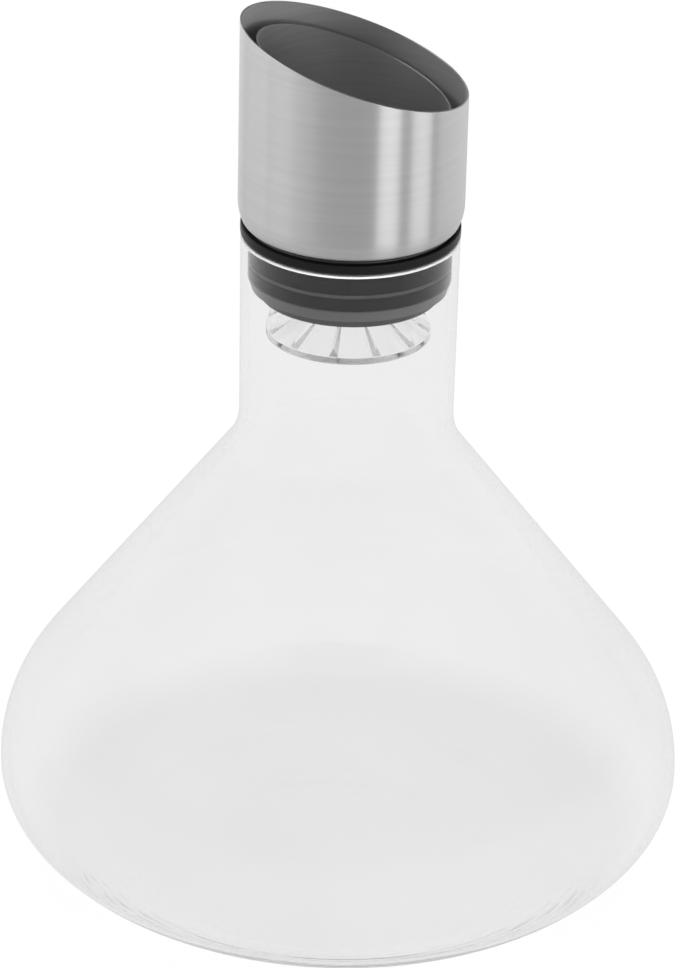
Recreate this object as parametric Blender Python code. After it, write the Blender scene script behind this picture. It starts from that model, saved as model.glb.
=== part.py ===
"""Wine decanter: a blown glass carafe with a lift-out aerating pourer in its neck.

Sizes are in millimetres and angles in degrees. The mesh helpers turn them into metres.
The carafe stands on z = 0, centred on the Z axis. The pourer is drawn from the glass rim:
its pieces hang on an empty there, so their own z = 0 is the top of the rim.
The spout's high side faces -X and its low side +X.
"""

import math

import bmesh
import bpy
from mathutils import Matrix, Vector

MM = 0.001
FIT_GAP = 0.3                # between pieces that touch or slide on the real object
GLASS_STEPS = 56             # sides of the glass
ROUND_STEPS = 48             # sides of the other turned pieces
SMOOTH_ANGLE = 35.0
CUT_OVERRUN = 1.0            # how far a cutter reaches past what it cuts

# Glass carafe
GLASS_HEIGHT = 199.0
NECK_RADIUS = 31.1           # outside, at the rim
NECK_TAPER = 0.3             # how much narrower the neck is at its foot
NECK_WALL = 1.8
NECK_LENGTH = 54.8           # rim to the start of the shoulder fillet
SHOULDER_FILLET = 20.7
BELLY_RADIUS = 100.3
BELLY_HEIGHT = 30.6          # where the glass is widest
BELLY_ARC = 46.0             # roundness above the widest line
HEEL_DROP = 20.0             # pull of the heel's curve straight down from the widest line
HEEL_REACH = 4.0             # pull of the heel's curve straight out from the foot
BODY_WALL = 1.6
FOOT_RADIUS = 65.5           # outer edge of the ring it stands on
FOOT_WIDTH = 9.0
PUNT_RISE = 6.0              # how far the underside is pushed up at the axis
BASE_THICKNESS = 2.4

# Silicone seal
FLANGE_THICKNESS = 3.0
FLANGE_OVERHANG = 0.1        # past the glass rim
FLANGE_ROUNDING = 0.8
FLANGE_LIP = 1.3             # round the recess that the core's flange lies in
FLANGE_RECESS_DEPTH = 1.7
SLEEVE_DEPTH = 15.0          # reach into the neck below the rim
SLEEVE_WALL = 3.9            # at the sealing bands
SLEEVE_ROOT_DEPTH = 1.0      # relieved stretch under the flange
GROOVE_DEPTH = 7.0           # middle of the groove between the sealing bands
GROOVE_WIDTH = 1.2
GROOVE_INSET = 0.9
LEAD_IN_LENGTH = 4.2         # tapered stretch at the sleeve's end
LEAD_IN_INSET = 1.1

# Stopper core
CORE_WALL = 3.1
CORE_FLANGE_THICKNESS = 2.1
CORE_BEAD_WIDTH = 0.9        # how far the bottom bead stands out under the seal
CORE_BEAD_HEIGHT = 2.4
CORE_BEAD_CHAMFER = 0.5
CORE_NECK_PROUD = 1.8        # how far the core's neck stands over the nut on it

# Steel sheet pieces
SHEET = 0.6
COLLAR_OVERHANG = 0.9        # past the glass rim
COLLAR_RIM_HEIGHT = 53.2     # slanted mouth over the glass rim, at the axis
COLLAR_SLANT = 18.2
COLLAR_HEEL_RADIUS = 13.0    # bottom stretch that draws in
COLLAR_HEEL_SWEEP = 24.0
COLLAR_CORNER = 1.2
FUNNEL_SETBACK = 4.0         # between the collar's inside and the funnel's outside
FUNNEL_RIM_DROP = 5.3        # below the collar's mouth, at the axis
FUNNEL_SLANT = 20.7
FUNNEL_FLOOR_ANGLE = 25.0    # from horizontal
FUNNEL_FLOOR_CORNER = 3.5
SPOUT_KNEE = 1.6             # between the funnel's floor and its spout
SPOUT_END_GAP = 1.8          # between the spout's end and the spreader's ring

# Clamp nut and funnel gasket
NUT_WIDTH = 3.4
NUT_HEIGHT = 4.0
NUT_NOTCHES = 4
NUT_NOTCH_WIDTH = 5.0
NUT_NOTCH_DEPTH = 1.4
GASKET_INSET = 0.6           # from the core's bore
GASKET_THICKNESS = 1.9       # at its inner edge

# Aerator spreader
AERATOR_RIM_INSET = 1.2      # from the core's side, so that it clears the neck
AERATOR_DROP = 12.3          # rim's lower edge below the core
AERATOR_RIM_EDGE = 1.9
AERATOR_RIM_WIDTH = 1.6
AERATOR_SLOPE = 30.0         # of the cone, from horizontal
AERATOR_WALL = 1.3
AERATOR_TIP_RADIUS = 1.5
AERATOR_RING_WALL = 1.6
AERATOR_RING_HEIGHT = 5.6
RIB_COUNT = 12
RIB_TURN = 18.0              # first rib, from +X
RIB_LENGTH = 11.0            # in from the rim
RIB_INNER_SIZE = (1.2, 0.9)  # width and height where a rib starts
RIB_OUTER_SIZE = (3.0, 2.6)  # width and height at the rim
RIB_SINK = 0.6               # how deep a rib's foot goes into the cone
RIB_END_INSET = 0.3
FIN_EVERY = 2                # every other rib carries on up as a fin
FIN_THICKNESS = 0.9
FIN_INNER_RADIUS = 5.0
FIN_FOOT_RADIUS = 14.8
FIN_SHORT = 0.8              # how far a fin stays inside the ring's top and bottom

# Radii, from the glass rim inwards
COLLAR_RADIUS = NECK_RADIUS + COLLAR_OVERHANG
FUNNEL_RADIUS = COLLAR_RADIUS - SHEET - FUNNEL_SETBACK
FLANGE_RADIUS = NECK_RADIUS + FLANGE_OVERHANG
RECESS_RADIUS = FLANGE_RADIUS - FLANGE_LIP
CORE_FLANGE_RADIUS = RECESS_RADIUS - FIT_GAP
NECK_BORE = NECK_RADIUS - NECK_WALL - NECK_TAPER * SLEEVE_DEPTH / NECK_LENGTH  # at the sleeve's end
BAND_RADIUS = NECK_BORE - FIT_GAP
SEAL_BORE = BAND_RADIUS - SLEEVE_WALL
CORE_RADIUS = SEAL_BORE - FIT_GAP
CORE_BORE = CORE_RADIUS - CORE_WALL
GASKET_BORE = CORE_BORE + GASKET_INSET
SPOUT_RADIUS = CORE_BORE - FIT_GAP
AERATOR_RING_RADIUS = CORE_BORE - FIT_GAP
AERATOR_RIM_RADIUS = CORE_RADIUS - AERATOR_RIM_INSET

# Heights in the pourer's frame, up from the glass rim
SEAL_FLANGE_TOP = FIT_GAP + FLANGE_THICKNESS
CORE_FLANGE_BOTTOM = SEAL_FLANGE_TOP - FLANGE_RECESS_DEPTH + FIT_GAP
CORE_FLANGE_TOP = CORE_FLANGE_BOTTOM + CORE_FLANGE_THICKNESS
COLLAR_BOTTOM = CORE_FLANGE_TOP + FIT_GAP
NUT_BOTTOM = COLLAR_BOTTOM + SHEET + FIT_GAP
CORE_TOP = NUT_BOTTOM + NUT_HEIGHT + CORE_NECK_PROUD
GASKET_BOTTOM = CORE_TOP + FIT_GAP
FUNNEL_RIM_HEIGHT = COLLAR_RIM_HEIGHT - FUNNEL_RIM_DROP

# Heights down from the glass rim
CORE_BEAD_TOP = -SLEEVE_DEPTH - FIT_GAP
CORE_BOTTOM = CORE_BEAD_TOP - CORE_BEAD_HEIGHT
AERATOR_RING_BOTTOM = CORE_BOTTOM + FIT_GAP
AERATOR_RING_TOP = AERATOR_RING_BOTTOM + AERATOR_RING_HEIGHT
SPOUT_END = AERATOR_RING_TOP + SPOUT_END_GAP
AERATOR_BOTTOM = CORE_BOTTOM - AERATOR_DROP

# Slopes
FLOOR_RISE = math.tan(math.radians(FUNNEL_FLOOR_ANGLE))
CONE_RISE = math.tan(math.radians(AERATOR_SLOPE))


def material(name, colour, roughness, metallic=0.0, transmission=0.0):
    """A Principled BSDF of the piece's colour and gloss."""
    made = bpy.data.materials.new(name)
    made.use_nodes = True
    made.diffuse_color = (*colour, 1.0)
    shader = made.node_tree.nodes["Principled BSDF"]
    shader.inputs["Base Color"].default_value = (*colour, 1.0)
    shader.inputs["Roughness"].default_value = roughness
    shader.inputs["Metallic"].default_value = metallic
    shader.inputs["Transmission Weight"].default_value = transmission
    return made


def polar(centre, radius, angle):
    """The point of an (r, z) circle at an angle from the +r direction."""
    turn = math.radians(angle)
    return (centre[0] + radius * math.cos(turn), centre[1] + radius * math.sin(turn))


def arc(centre, radius, start, end, steps):
    """Points of a round stretch in the (r, z) plane, from one angle to another."""
    return [polar(centre, radius, start + (end - start) * i / steps) for i in range(steps + 1)]


def bezier(first, first_handle, last_handle, last, steps):
    """Points of a cubic curve in the (r, z) plane, without its first point."""
    corners = [Vector(p) for p in (first, first_handle, last_handle, last)]
    weights = (1, 3, 3, 1)
    points = []
    for step in range(1, steps + 1):
        t = step / steps
        point = Vector((0.0, 0.0))
        for k, (weight, corner) in enumerate(zip(weights, corners)):
            point += weight * t**k * (1 - t) ** (3 - k) * corner
        points.append(tuple(point))
    return points


def sheet_outline(path, thickness):
    """A closed outline of sheet metal: the path, and the path moved to its left by the thickness."""
    points = [Vector(p) for p in path]
    ways = [(b - a).normalized() for a, b in zip(points, points[1:])]
    moved = []
    for point, before, after in zip(points, ways[:1] + ways, ways + ways[-1:]):
        left = Vector((-before.y, before.x))
        mitre = (left + Vector((-after.y, after.x))).normalized()
        moved.append(tuple(point + mitre * (thickness / mitre.dot(left))))
    return list(path) + moved[::-1]


def make_object(bm, name, finish, parent=None):
    """Scales a mesh to metres and links it as one smooth-shaded object."""
    bmesh.ops.scale(bm, vec=(MM, MM, MM), verts=bm.verts)
    bmesh.ops.recalc_face_normals(bm, faces=bm.faces)
    mesh = bpy.data.meshes.new(name)
    bm.to_mesh(mesh)
    bm.free()
    mesh.shade_smooth()
    mesh.set_sharp_from_angle(angle=math.radians(SMOOTH_ANGLE))
    mesh.materials.append(finish)
    made = bpy.data.objects.new(name, mesh)
    made.parent = parent
    bpy.context.scene.collection.objects.link(made)
    return made


def turned(outline, steps):
    """A mesh from a closed (r, z) outline spun round the Z axis. Points at r = 0 become poles."""
    bm = bmesh.new()
    verts = [bm.verts.new((r, 0.0, z)) for r, z in outline]
    pairs = zip(verts, verts[1:] + verts[:1])
    edges = [bm.edges.new(pair) for pair in pairs if max(v.co.x for v in pair) > 0]
    bmesh.ops.spin(
        bm, geom=verts + edges, cent=(0, 0, 0), axis=(0, 0, 1),
        angle=2 * math.pi, steps=steps, use_merge=True,
    )
    bmesh.ops.remove_doubles(bm, verts=bm.verts, dist=1e-4)
    return bm


def cut_slant(bm, height, slant):
    """Cuts a tube's top off along a plane that falls towards +X, and closes its rim."""
    tilt = math.radians(slant)
    cut = bmesh.ops.bisect_plane(
        bm, geom=bm.verts[:] + bm.edges[:] + bm.faces[:], plane_co=(0, 0, height),
        plane_no=(math.sin(tilt), 0, math.cos(tilt)), clear_outer=True,
    )
    rim = [e for e in cut["geom_cut"] if isinstance(e, bmesh.types.BMEdge)]
    bmesh.ops.bridge_loops(bm, edges=rim)


def turn_about_axis(bm, turn):
    spin = Matrix.Rotation(math.radians(turn), 3, "Z")
    bmesh.ops.rotate(bm, cent=(0, 0, 0), matrix=spin, verts=bm.verts)


def plate(outline, thickness, turn):
    """A flat plate of an (r, z) outline, standing on a radius of the Z axis at the given turn."""
    bm = bmesh.new()
    face = bm.faces.new([bm.verts.new((r, -thickness / 2, z)) for r, z in outline])
    swept = bmesh.ops.extrude_face_region(bm, geom=[face])["geom"]
    far_side = [v for v in swept if isinstance(v, bmesh.types.BMVert)]
    bmesh.ops.translate(bm, vec=(0, thickness, 0), verts=far_side)
    turn_about_axis(bm, turn)
    return bm


def combine(obj, other, operation):
    """Cuts one object with another, or joins it on, and leaves the other as a hidden helper."""
    other.hide_render = True
    other.display_type = "WIRE"
    modifier = obj.modifiers.new(f"{operation.lower()}_{other.name}", "BOOLEAN")
    modifier.operation = operation
    modifier.object = other


def shoulder_angle(fillet_centre, fillet, belly_centre, round_above):
    """Lean, from vertical, of the straight shoulder that touches the neck's fillet and the belly's arc."""
    across = belly_centre[0] - fillet_centre[0]
    down = belly_centre[1] - fillet_centre[1]
    reach = math.acos(-(fillet + round_above) / math.hypot(across, down))
    return math.degrees(math.atan2(down, across) + reach)


def carafe_wall(neck, inset, floor):
    """One face of the glass from under the rim to the foot, the given inset inside the outer face."""
    neck_foot = (neck - NECK_TAPER, GLASS_HEIGHT - NECK_LENGTH)
    fillet = SHOULDER_FILLET + inset
    fillet_centre = (neck_foot[0] + fillet, neck_foot[1])
    belly = BELLY_RADIUS - inset
    round_above = BELLY_ARC - inset
    belly_centre = (belly - round_above, BELLY_HEIGHT)
    lean = shoulder_angle(fillet_centre, fillet, belly_centre, round_above)
    shoulder = arc(fillet_centre, fillet, 180, 180 + lean, 4)
    upper = arc(belly_centre, round_above, lean, 0, 5)
    widest_handle = (belly, BELLY_HEIGHT - HEEL_DROP)
    foot_handle = (FOOT_RADIUS + HEEL_REACH, floor)
    heel = bezier(upper[-1], widest_handle, foot_handle, (FOOT_RADIUS, floor), 6)
    return shoulder + upper + heel


def make_glass_carafe(finish):
    outer = carafe_wall(NECK_RADIUS, 0.0, 0.0)
    inner = carafe_wall(NECK_RADIUS - NECK_WALL, BODY_WALL, BASE_THICKNESS)
    punt_edge = FOOT_RADIUS - FOOT_WIDTH
    handle = punt_edge / 2
    crown = PUNT_RISE + BASE_THICKNESS
    punt = bezier((punt_edge, 0.0), (handle, 0.0), (handle, PUNT_RISE), (0.0, PUNT_RISE), 4)
    floor = bezier((0.0, crown), (handle, crown), (handle, BASE_THICKNESS), inner[-1], 4)
    rounding = NECK_WALL / 2
    rim = arc((NECK_RADIUS - rounding, GLASS_HEIGHT - rounding), rounding, 180, 0, 4)
    outline = outer + [(punt_edge, 0.0)] + punt + [(0.0, crown)] + floor + inner[-2::-1] + rim
    return make_object(turned(outline, GLASS_STEPS), "glass_carafe", finish)


def make_silicone_seal(finish, parent):
    band = BAND_RADIUS
    groove = band - GROOVE_INSET
    recess_floor = SEAL_FLANGE_TOP - FLANGE_RECESS_DEPTH
    soft = FLANGE_ROUNDING
    edge = FLANGE_RADIUS - soft
    outline = [
        (SEAL_BORE, recess_floor), (SEAL_BORE, -SLEEVE_DEPTH), (band - LEAD_IN_INSET, -SLEEVE_DEPTH),
        (band, LEAD_IN_LENGTH - SLEEVE_DEPTH), (band, -GROOVE_DEPTH - GROOVE_WIDTH / 2),
        (groove, -GROOVE_DEPTH), (band, -GROOVE_DEPTH + GROOVE_WIDTH / 2),
        (band, -SLEEVE_ROOT_DEPTH), (groove, FIT_GAP),
    ]
    outline += arc((edge, FIT_GAP + soft), soft, -90, 0, 3)
    outline += arc((edge, SEAL_FLANGE_TOP - soft), soft, 0, 90, 3)
    outline += [(RECESS_RADIUS, SEAL_FLANGE_TOP), (RECESS_RADIUS, recess_floor)]
    return make_object(turned(outline, ROUND_STEPS), "silicone_seal", finish, parent)


def make_stopper_core(finish, parent):
    bead = CORE_RADIUS + CORE_BEAD_WIDTH
    bevel = CORE_BEAD_CHAMFER
    outline = [
        (CORE_BORE, CORE_TOP), (CORE_BORE, CORE_BOTTOM), (bead - bevel, CORE_BOTTOM),
        (bead, CORE_BOTTOM + bevel), (bead, CORE_BEAD_TOP), (CORE_RADIUS, CORE_BEAD_TOP),
        (CORE_RADIUS, CORE_FLANGE_BOTTOM), (CORE_FLANGE_RADIUS, CORE_FLANGE_BOTTOM),
        (CORE_FLANGE_RADIUS, CORE_FLANGE_TOP), (CORE_RADIUS, CORE_FLANGE_TOP), (CORE_RADIUS, CORE_TOP),
    ]
    return make_object(turned(outline, ROUND_STEPS), "stopper_core", finish, parent)


def make_outer_collar(finish, parent):
    """A drawn sleeve: holed floor, small corner, heel that draws out to the full radius, slanted mouth."""
    sweep = COLLAR_HEEL_SWEEP
    heel_drop = (COLLAR_HEEL_RADIUS - COLLAR_CORNER) * math.sin(math.radians(sweep))
    heel_centre = (COLLAR_RADIUS - COLLAR_HEEL_RADIUS, COLLAR_BOTTOM + COLLAR_CORNER + heel_drop)
    corner_centre = polar(heel_centre, COLLAR_HEEL_RADIUS - COLLAR_CORNER, -sweep)
    corner = arc(corner_centre, COLLAR_CORNER, -90, -sweep, 3)
    heel = arc(heel_centre, COLLAR_HEEL_RADIUS, -sweep, 0, 4)
    above_cut = COLLAR_RIM_HEIGHT + COLLAR_RADIUS
    path = [(CORE_RADIUS + FIT_GAP, COLLAR_BOTTOM)] + corner + heel[1:] + [(COLLAR_RADIUS, above_cut)]
    bm = turned(sheet_outline(path, SHEET), ROUND_STEPS)
    cut_slant(bm, COLLAR_RIM_HEIGHT, COLLAR_SLANT)
    return make_object(bm, "outer_collar", finish, parent)


def funnel_floor(radius):
    """Height of the funnel floor's underside, which lies on the gasket's sloped top."""
    gap = FIT_GAP / math.cos(math.radians(FUNNEL_FLOOR_ANGLE))
    return GASKET_BOTTOM + GASKET_THICKNESS + gap + (radius - GASKET_BORE) * FLOOR_RISE


def make_inner_funnel(finish, parent):
    """A sheet cup: spout in the core's bore, sloped floor, straight wall, slanted mouth."""
    slope = FUNNEL_FLOOR_ANGLE
    knee_drop = SPOUT_KNEE * math.tan(math.radians(90 - slope) / 2)
    knee_centre = (SPOUT_RADIUS + SPOUT_KNEE, funnel_floor(SPOUT_RADIUS) - knee_drop)
    knee = arc(knee_centre, SPOUT_KNEE, 180, 90 + slope, 3)
    corner_radius = FUNNEL_RADIUS - FUNNEL_FLOOR_CORNER
    touch = polar((corner_radius, 0.0), FUNNEL_FLOOR_CORNER, slope - 90)
    corner_centre = (corner_radius, funnel_floor(touch[0]) - touch[1])
    corner = arc(corner_centre, FUNNEL_FLOOR_CORNER, slope - 90, 0, 4)
    above_cut = FUNNEL_RIM_HEIGHT + FUNNEL_RADIUS
    path = [(SPOUT_RADIUS, SPOUT_END)] + knee + corner + [(FUNNEL_RADIUS, above_cut)]
    bm = turned(sheet_outline(path, SHEET), ROUND_STEPS)
    cut_slant(bm, FUNNEL_RIM_HEIGHT, FUNNEL_SLANT)
    return make_object(bm, "inner_funnel", finish, parent)


def make_clamp_nut(finish, parent):
    bore = CORE_RADIUS + FIT_GAP
    edge = bore + NUT_WIDTH
    top = NUT_BOTTOM + NUT_HEIGHT
    outline = [(bore, NUT_BOTTOM), (edge, NUT_BOTTOM), (edge, top), (bore, top)]
    nut = make_object(turned(outline, ROUND_STEPS), "clamp_nut", finish, parent)
    inner, outer = edge - NUT_NOTCH_DEPTH, edge + CUT_OVERRUN
    low, high = NUT_BOTTOM - CUT_OVERRUN, top + CUT_OVERRUN
    notch = [(inner, low), (outer, low), (outer, high), (inner, high)]
    for i in range(NUT_NOTCHES):
        cutter = plate(notch, NUT_NOTCH_WIDTH, 360 * i / NUT_NOTCHES)
        combine(nut, make_object(cutter, f"nut_notch_cutter_{i}", finish, parent), "DIFFERENCE")
    return nut


def make_funnel_gasket(finish, parent):
    top = GASKET_BOTTOM + GASKET_THICKNESS
    rise = (CORE_RADIUS - GASKET_BORE) * FLOOR_RISE
    outline = [
        (GASKET_BORE, GASKET_BOTTOM), (CORE_RADIUS, GASKET_BOTTOM),
        (CORE_RADIUS, top + rise), (GASKET_BORE, top),
    ]
    return make_object(turned(outline, ROUND_STEPS), "funnel_gasket", finish, parent)


def cone_height(radius):
    """Height of the spreader cone's upper face."""
    return AERATOR_BOTTOM + AERATOR_RIM_EDGE + (AERATOR_RIM_RADIUS - radius) * CONE_RISE


def spreader_cone():
    tip = cone_height(AERATOR_TIP_RADIUS)
    drop = AERATOR_WALL / math.cos(math.radians(AERATOR_SLOPE))
    rim_inside = AERATOR_RIM_RADIUS - AERATOR_RIM_WIDTH
    outline = [
        (0.0, tip), (AERATOR_TIP_RADIUS, tip), (AERATOR_RIM_RADIUS, cone_height(AERATOR_RIM_RADIUS)),
        (AERATOR_RIM_RADIUS, AERATOR_BOTTOM), (rim_inside, AERATOR_BOTTOM),
        (AERATOR_TIP_RADIUS, tip - drop), (0.0, tip - drop),
    ]
    return turned(outline, ROUND_STEPS)


def rib(turn):
    """A wedge on the cone that grows towards its rim, with a sharp crest and its foot sunk in."""
    bm = bmesh.new()
    ends = []
    inner_end = AERATOR_RIM_RADIUS - RIB_LENGTH
    outer_end = AERATOR_RIM_RADIUS - RIB_END_INSET
    for radius, (width, height) in ((inner_end, RIB_INNER_SIZE), (outer_end, RIB_OUTER_SIZE)):
        foot = cone_height(radius) - RIB_SINK
        section = [(-width / 2, foot), (width / 2, foot), (0.0, cone_height(radius) + height)]
        ends.append([bm.verts.new((radius, y, z)) for y, z in section])
    inner, outer = ends
    for i in range(3):
        bm.faces.new([inner[i], inner[i - 1], outer[i - 1], outer[i]])
    bm.faces.new(inner)
    bm.faces.new(outer[::-1])
    turn_about_axis(bm, turn)
    return bm


def make_aerator_spreader(finish, parent):
    """Clear moulding: ribbed cone, ring in the core's bore, and fins that hang the cone from the ring."""
    spreader = make_object(spreader_cone(), "aerator_spreader", finish, parent)
    bottom, top = AERATOR_RING_BOTTOM, AERATOR_RING_TOP
    inside = AERATOR_RING_RADIUS - AERATOR_RING_WALL
    ring = [(inside, top), (inside, bottom), (AERATOR_RING_RADIUS, bottom), (AERATOR_RING_RADIUS, top)]
    in_ring = inside + AERATOR_RING_WALL / 2
    fin = [
        (FIN_INNER_RADIUS, cone_height(FIN_INNER_RADIUS) - RIB_SINK), (FIN_INNER_RADIUS, top - FIN_SHORT),
        (in_ring, top - FIN_SHORT), (in_ring, bottom + FIN_SHORT),
        (FIN_FOOT_RADIUS, cone_height(FIN_FOOT_RADIUS) - RIB_SINK),
    ]
    for i in range(RIB_COUNT):
        turn = RIB_TURN + 360 * i / RIB_COUNT
        combine(spreader, make_object(rib(turn), f"rib_{i}", finish, parent), "UNION")
        if i % FIN_EVERY == 0:
            fin_plate = plate(fin, FIN_THICKNESS, turn)
            combine(spreader, make_object(fin_plate, f"fin_{i}", finish, parent), "UNION")
    ring_mesh = turned(ring, ROUND_STEPS)
    combine(spreader, make_object(ring_mesh, "aerator_ring", finish, parent), "UNION")
    return spreader


def main():
    for obj in list(bpy.data.objects):
        bpy.data.objects.remove(obj)

    glass = material("clear_glass", (0.93, 0.95, 0.95), 0.02, transmission=1.0)
    outer_steel = material("brushed_outer_steel", (0.62, 0.62, 0.61), 0.30, metallic=1.0)
    inner_steel = material("brushed_inner_steel", (0.55, 0.55, 0.54), 0.35, metallic=1.0)
    core_plastic = material("core_plastic", (0.03, 0.03, 0.03), 0.35)
    nut_plastic = material("nut_plastic", (0.03, 0.03, 0.03), 0.45)
    seal_silicone = material("seal_silicone", (0.015, 0.015, 0.015), 0.25)
    gasket_silicone = material("gasket_silicone", (0.02, 0.02, 0.02), 0.50)
    clear_plastic = material("clear_plastic", (0.92, 0.93, 0.93), 0.08, transmission=1.0)

    make_glass_carafe(glass)
    pourer = bpy.data.objects.new("pourer_on_rim", None)
    pourer.location = (0, 0, GLASS_HEIGHT * MM)
    bpy.context.scene.collection.objects.link(pourer)
    make_silicone_seal(seal_silicone, pourer)
    make_stopper_core(core_plastic, pourer)
    make_outer_collar(outer_steel, pourer)
    make_inner_funnel(inner_steel, pourer)
    make_clamp_nut(nut_plastic, pourer)
    make_funnel_gasket(gasket_silicone, pourer)
    make_aerator_spreader(clear_plastic, pourer)


main()
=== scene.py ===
"""Looks of the wine decanter: fine surfaces, finishes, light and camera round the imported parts.

Lengths are in millimetres and angles in degrees unless a name or a comment says otherwise. Heights count
from the table. The spout's high side faces -X, and the camera stands in front of the decanter, at -Y.
"""

import math

import bmesh
import bpy
from mathutils import Matrix, Vector


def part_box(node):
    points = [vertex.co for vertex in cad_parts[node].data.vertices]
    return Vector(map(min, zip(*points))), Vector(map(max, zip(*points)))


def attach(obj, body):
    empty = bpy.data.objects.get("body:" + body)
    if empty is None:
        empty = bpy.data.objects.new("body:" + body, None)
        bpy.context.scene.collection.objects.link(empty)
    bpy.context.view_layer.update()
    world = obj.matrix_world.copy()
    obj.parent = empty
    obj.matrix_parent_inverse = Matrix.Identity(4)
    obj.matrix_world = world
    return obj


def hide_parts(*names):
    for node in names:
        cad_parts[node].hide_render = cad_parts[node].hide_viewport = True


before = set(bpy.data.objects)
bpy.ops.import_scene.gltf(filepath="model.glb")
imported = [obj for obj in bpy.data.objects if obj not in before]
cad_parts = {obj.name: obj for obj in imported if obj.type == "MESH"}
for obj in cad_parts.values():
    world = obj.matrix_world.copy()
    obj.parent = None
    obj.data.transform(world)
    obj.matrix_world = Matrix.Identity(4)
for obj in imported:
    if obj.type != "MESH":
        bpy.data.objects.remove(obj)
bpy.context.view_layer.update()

MM = 0.001


def extent(node):
    """A node's radius, lowest and highest height, from the frame."""
    low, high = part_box(node)
    return high.x / MM, low.z / MM, high.z / MM


# Sizes that the frame gives
BELLY_RADIUS, FOOT, RIM = extent("glass_carafe")
COLLAR_RADIUS, COLLAR_BOTTOM, _ = extent("outer_collar")
FUNNEL_RADIUS, SPOUT_END, _ = extent("inner_funnel")
FLANGE_RADIUS, SLEEVE_END, FLANGE_TOP = extent("silicone_seal")
CORE_FLANGE_RADIUS, CORE_BOTTOM, CORE_TOP = extent("stopper_core")
CORE_RADIUS, GASKET_BOTTOM, _ = extent("funnel_gasket")
AERATOR_RADIUS, AERATOR_BOTTOM, AERATOR_TOP = extent("aerator_spreader")

FIT_GAP = 0.3                # between pieces that touch on the real object
GLASS_STEPS = 224            # sides of the glass
ROUND_STEPS = 160            # sides of the other turned pieces
SMOOTH_ANGLE = 35.0
LONGEST_STRETCH = 4.0        # of the glass outline between two points
TURN_MERGE = 1e-4            # points of a turned mesh that lie nearer than this become one
UNION_MERGE = 0.02           # and the same for joined meshes
SOFT_STEPS = 4               # of a softened corner
SOFT_SHARE = 0.3             # of a side, the most that a softened corner takes
SOFT_SUPPORT = 0.5           # share of a softened corner's reach that is kept straight beside it

# Glass carafe
FLANGE_OVERHANG = 0.1        # of the seal's flange past the neck
NECK_RADIUS = FLANGE_RADIUS - FLANGE_OVERHANG
NECK_TAPER = 0.3
NECK_WALL = 1.8
NECK_LENGTH = 54.8
SHOULDER_FILLET = 20.7
BELLY_HEIGHT = 30.6
BELLY_ARC = 46.0
HEEL_DROP = 20.0             # length of the heel curve's handle under the widest point
HEEL_REACH = 4.0             # and of its handle beside the foot
BODY_WALL = 1.6
FOOT_RADIUS = 65.5
FOOT_WIDTH = 9.0
PUNT_RISE = 6.0
BASE_THICKNESS = 2.4
BASE_SHADE_TOP = 17.0            # height where the painted shade of the inner glass's base has faded out, and the heel is as clear as the wall
RIM_HIGHLIGHT_DEPTH = 0.6             # depth of the band at the rim that is painted white as a highlight
RIM_SUPPORT = 0.1            # straight stretch that keeps the rim's rounding out of the neck's shading
SHOULDER_STEPS = 20          # of this round stretch of the outline, and so on below
BELLY_STEPS = 28
HEEL_STEPS = 32
PUNT_STEPS = 24
RIM_STEPS = 12

# Silicone seal
FLANGE_ROUNDING = 0.8
FLANGE_LIP = 1.3
FLANGE_RECESS_DEPTH = 1.7
GROOVE_DEPTH = 7.0
GROOVE_WIDTH = 1.2
GROOVE_INSET = 0.9
SLEEVE_ROOT_DEPTH = 1.0
LEAD_IN_LENGTH = 4.2
LEAD_IN_INSET = 1.1
SOFT_EDGE = 0.25             # rounding of moulded edges
PAINTED_LIGHT_DEPTH = 0.3          # under the bands' radius, where the seal's painted light begins to fade to the bands' black
PAINTED_LIGHT_FADE = 0.1           # and where the painted light has gone and the black is at its darkest

# Stopper core
CORE_WALL = 3.1
CORE_FLANGE_THICKNESS = 2.1
CORE_BEAD_WIDTH = 0.9
CORE_BEAD_HEIGHT = 2.4
CORE_BEAD_ROUNDING = 0.6

# Steel sheet pieces
SHEET = 0.6
SHEET_BEVEL = 0.20           # rounding of the cut edges
SHEET_BEVEL_STEPS = 3
COLLAR_RIM_HEIGHT = 53.2
COLLAR_SLANT = 18.2
COLLAR_HEEL_RADIUS = 13.0
COLLAR_HEEL_SWEEP = 24.0
COLLAR_HEEL_STEPS = 12
COLLAR_CORNER = 1.2
COLLAR_CORNER_STEPS = 8
FUNNEL_RIM_HEIGHT = 47.9
FUNNEL_SLANT = 20.7
FUNNEL_FLOOR_ANGLE = 25.0
FUNNEL_FLOOR_CORNER = 3.5
FUNNEL_CORNER_STEPS = 10
SPOUT_KNEE = 1.6             # radius of the bend between spout and floor
SPOUT_KNEE_STEPS = 8
GASKET_INSET = 0.6           # of the gasket's bore from the core's
GASKET_THICKNESS = 1.9

# Aerator spreader
AERATOR_RIM_EDGE = 1.9
AERATOR_RIM_WIDTH = 1.6
AERATOR_SLOPE = 30.0
AERATOR_WALL = 1.3
AERATOR_TIP_RADIUS = 1.5
AERATOR_RING_WALL = 1.6
AERATOR_RING_HEIGHT = 5.6
RIB_COUNT = 12
RIB_TURN = 18.0
RIB_LENGTH = 11.0
RIB_INNER_SIZE = (1.2, 0.9)  # width and height
RIB_OUTER_SIZE = (3.0, 2.6)
RIB_SINK = 0.6               # of ribs and fins into the cone
RIB_END_INSET = 0.3
FIN_EVERY = 2
FIN_THICKNESS = 0.9
FIN_INNER_RADIUS = 5.0
FIN_FOOT_RADIUS = 14.8
FIN_SHORT = 0.8              # of the ring's two ends

# Camera, from the photograph's perspective
CAMERA_REACH = 1194.08       # in front of the axis
CAMERA_HEIGHT = 717.315
CAMERA_TURN = -2.3           # round the axis
CAMERA_PITCH = 26.596
CAMERA_YAW = -0.0616
CAMERA_ROLL = 1.397
CAMERA_LENS = 171.38
CAMERA_SENSOR = 36.0

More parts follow.
